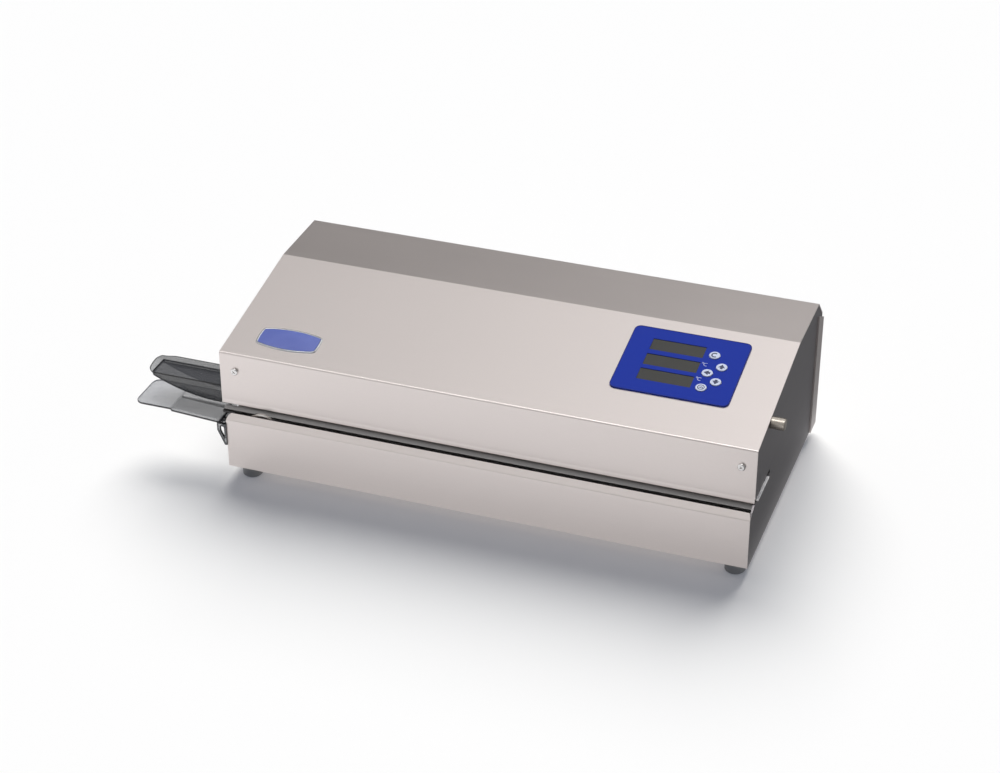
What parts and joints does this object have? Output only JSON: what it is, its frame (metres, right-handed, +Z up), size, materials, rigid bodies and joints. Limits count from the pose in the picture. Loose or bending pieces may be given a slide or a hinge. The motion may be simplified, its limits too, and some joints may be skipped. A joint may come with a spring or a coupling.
{
  "type": "continuous pouch sealer",
  "caption": "Bench-top continuous heat sealer for pouches: sheet steel case with a front slot, sloped key panel, side pressure knob, smoked infeed guard and clear tray.",
  "frame": {"origin": "centre of the bounding box, on the plane the feet stand on", "axes": "+X along the slot towards the outfeed and the knob, +Y from the slot towards the back, +Z up"},
  "size_m": [0.5946, 0.2626, 0.1485],
  "materials": {
    "stainless": "fine brushed",
    "guide_steel": "satin",
    "screw_steel": "polished",
    "foot_rubber": "matt",
    "badge_blue": "gloss",
    "overlay_blue": "satin film",
    "display_smoke": "smoked",
    "display_black": "matt",
    "board_green": "solder mask",
    "standoff_brass": "turned",
    "key_silver": "satin film",
    "mechanism_zinc": "zinc plated",
    "bush_brass": "sintered",
    "shaft_steel": "ground",
    "pulley_rubber": "matt",
    "belt_brown": "coated glass cloth",
    "gear_nylon": "moulded",
    "coupling_aluminium": "machined",
    "motor_grey": "plated can",
    "heater_brass": "machined",
    "spring_steel": "drawn",
    "roller_steel": "knurled",
    "knob_nickel": "satin nickel",
    "wheel_steel": "turned",
    "guard_smoke": "smoked acrylic",
    "tray_clear": "clear acrylic",
    "fan_black": "moulded",
    "grille_wire": "plated wire",
    "inlet_black": "moulded"
  },
  "bodies": {
    "case": {"base_pan": "stainless", "left_side_plate": "stainless", "right_side_plate": "stainless", "top_cover": "stainless", "front_panel": "stainless", "rear_cover": "stainless", "case_screws": "screw_steel", "feet": "foot_rubber", "badge_plate": "badge_blue", "panel_overlay": "overlay_blue", "display_windows": "display_smoke", "display_modules": "display_black", "control_board": "board_green", "board_standoffs": "standoff_brass", "lower_guide_plate": "guide_steel", "infeed_lead": "guide_steel", "mechanism_plate": "mechanism_zinc", "shaft_bushes": "bush_brass", "lower_belt": "belt_brown", "upper_belt": "belt_brown", "gear_motor": "motor_grey", "motor_bracket": "mechanism_zinc", "lower_heater": "heater_brass", "spring_beam": "spring_steel", "heater_springs": "spring_steel", "cooling_blocks": "coupling_aluminium", "mechanism_pins": "standoff_brass", "edge_wheel_bracket": "mechanism_zinc", "infeed_guard": "guard_smoke", "infeed_tray": "tray_clear", "tray_bracket": "tray_clear", "fan_frame": "fan_black", "fan_grille": "grille_wire", "mains_inlet": "inlet_black", "switch_housing": "inlet_black", "power_supply": "board_green"},
    "lower_drive": {"lower_drive_shaft": "shaft_steel", "lower_drive_pulley": "pulley_rubber", "lower_drive_gear": "gear_nylon", "motor_coupling": "coupling_aluminium"},
    "upper_drive": {"upper_drive_shaft": "shaft_steel", "upper_drive_pulley": "pulley_rubber", "upper_drive_gear": "gear_nylon"},
    "lower_infeed": {"lower_infeed_shaft": "shaft_steel", "lower_infeed_pulley": "pulley_rubber"},
    "upper_infeed": {"upper_infeed_shaft": "shaft_steel", "upper_infeed_pulley": "pulley_rubber"},
    "lower_roller": {"lower_press_roller": "roller_steel"},
    "pressure_arm": {"press_arm": "mechanism_zinc"},
    "upper_roller": {"upper_press_roller": "roller_steel"},
    "floating_heater": {"upper_heater": "heater_brass"},
    "power_switch": {"power_rocker": "inlet_black"},
    "knob": {"pressure_knob": "knob_nickel"},
    "fan": {"fan_rotor": "fan_black"},
    "pouch_wheel": {"edge_wheel": "wheel_steel"},
    "key_clear_cap": {"key_clear": "key_silver"},
    "key_up_cap": {"key_up": "key_silver"},
    "key_shift_cap": {"key_shift": "key_silver"},
    "key_down_cap": {"key_down": "key_silver"},
    "key_set_cap": {"key_set": "key_silver"}
  },
  "joints": [
    {"name": "drive_spin", "type": "hinge", "parent": "case", "child": "lower_drive", "pos_m": [0.2467, -0.08535, 0.05625], "axis": [0, 1, 0], "continuous": true},
    {"name": "upper_drive_spin", "type": "hinge", "parent": "case", "child": "upper_drive", "pos_m": [0.2467, -0.08535, 0.08835], "axis": [0, 1, 0], "continuous": true},
    {"name": "lower_infeed_spin", "type": "hinge", "parent": "case", "child": "lower_infeed", "pos_m": [-0.1773, -0.08535, 0.05625], "axis": [0, 1, 0], "continuous": true},
    {"name": "upper_infeed_spin", "type": "hinge", "parent": "case", "child": "upper_infeed", "pos_m": [-0.1773, -0.08535, 0.08835], "axis": [0, 1, 0], "continuous": true},
    {"name": "lower_roller_spin", "type": "hinge", "parent": "case", "child": "lower_roller", "pos_m": [0.1997, -0.08535, 0.061], "axis": [0, 1, 0], "continuous": true},
    {"name": "pressure_arm_tilt", "type": "hinge", "parent": "case", "child": "pressure_arm", "pos_m": [0.1597, -0.07435, 0.095], "axis": [0, 1, 0], "range_deg": [-1.2, 0], "stiffness_Nm_per_rad": 5, "springref_deg": 1.72},
    {"name": "upper_roller_spin", "type": "hinge", "parent": "pressure_arm", "child": "upper_roller", "pos_m": [0.1997, -0.08535, 0.0836], "axis": [0, 1, 0], "continuous": true},
    {"name": "heater_lift", "type": "slide", "parent": "case", "child": "floating_heater", "axis": [0, 0, 1], "range_m": [0, 0.002], "stiffness_N_per_m": 1500, "springref_m": -0.002, "deforming": ["heater_springs"]},
    {"name": "power_rock", "type": "hinge", "parent": "case", "child": "power_switch", "pos_m": [-0.1053, 0.12415, 0.048], "axis": [1, 0, 0], "range_deg": [0, 9]},
    {"name": "pressure_knob_turn", "type": "hinge", "parent": "case", "child": "knob", "pos_m": [0.2847, -0.06935, 0.1247], "axis": [1, 0, 0], "range_deg": [0, 270]},
    {"name": "fan_spin", "type": "hinge", "parent": "case", "child": "fan", "pos_m": [0.0747, 0.12465, 0.072], "axis": [0, 1, 0], "continuous": true},
    {"name": "pouch_wheel_spin", "type": "hinge", "parent": "case", "child": "pouch_wheel", "pos_m": [-0.1733, -0.12255, 0.0511], "axis": [0, 1, 0], "continuous": true},
    {"name": "key_clear_press", "type": "slide", "parent": "case", "child": "key_clear_cap", "axis": [0, 0.1741, -0.9847], "range_m": [0, 0.0004], "stiffness_N_per_m": 4000, "springref_m": -0.0001},
    {"name": "key_up_press", "type": "slide", "parent": "case", "child": "key_up_cap", "axis": [0, 0.1741, -0.9847], "range_m": [0, 0.0004], "stiffness_N_per_m": 4000, "springref_m": -0.0001},
    {"name": "key_shift_press", "type": "slide", "parent": "case", "child": "key_shift_cap", "axis": [0, 0.1741, -0.9847], "range_m": [0, 0.0004], "stiffness_N_per_m": 4000, "springref_m": -0.0001},
    {"name": "key_down_press", "type": "slide", "parent": "case", "child": "key_down_cap", "axis": [0, 0.1741, -0.9847], "range_m": [0, 0.0004], "stiffness_N_per_m": 4000, "springref_m": -0.0001},
    {"name": "key_set_press", "type": "slide", "parent": "case", "child": "key_set_cap", "axis": [0, 0.1741, -0.9847], "range_m": [0, 0.0004], "stiffness_N_per_m": 4000, "springref_m": -0.0001}
  ],
  "couplings": [
    {"joint": "upper_drive_spin", "follows": "drive_spin", "ratio": -1},
    {"joint": "lower_infeed_spin", "follows": "drive_spin", "ratio": 1},
    {"joint": "upper_infeed_spin", "follows": "drive_spin", "ratio": -1},
    {"joint": "lower_roller_spin", "follows": "drive_spin", "ratio": 1.5278},
    {"joint": "upper_roller_spin", "follows": "drive_spin", "ratio": -1.5278}
  ]
}
